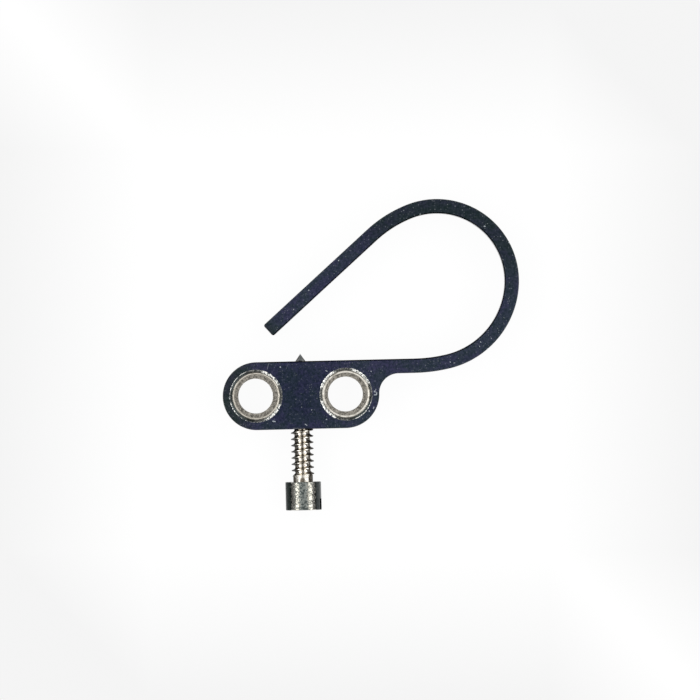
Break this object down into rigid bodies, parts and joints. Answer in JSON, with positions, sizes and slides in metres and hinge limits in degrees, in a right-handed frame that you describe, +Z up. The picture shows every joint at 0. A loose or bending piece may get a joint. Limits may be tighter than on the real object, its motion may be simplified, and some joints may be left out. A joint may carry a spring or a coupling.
{
  "type": "watch regulator spring",
  "caption": "Flat plate with two sunk screw holes and a long hooked spring arm, crossed by a pointed slotted adjusting screw that bears on a regulator's tail.",
  "frame": {"origin": "on the plate's underside, midway between the two fixing holes", "axes": "+X along the line of the fixing holes, towards the arm; +Y across the plate, the way the adjusting screw points; +Z up out of the polished face, along the fixing holes"},
  "size_m": [0.0072, 0.0074, 0.001],
  "materials": {
    "blued_steel": "hardened steel, mirror polished, dark blue-black, with fine dust marks and scratches",
    "bare_steel": "turned bare steel with a satin, finely pitted head",
    "polished_steel": "bright polished bare steel in the chamfer and cone of each screw sink",
    "matt_steel": "matt grey-brown milled steel on the floor of each screw sink"
  },
  "bodies": {
    "plate": {"spring_plate": "blued_steel"},
    "screw": {"adjusting_screw": "bare_steel"}
  },
  "joints": [
    {"name": "screw_travel", "type": "slide", "parent": "plate", "child": "screw", "axis": [0, 1, 0], "range_m": [-0.0009, 0.0009]}
  ]
}
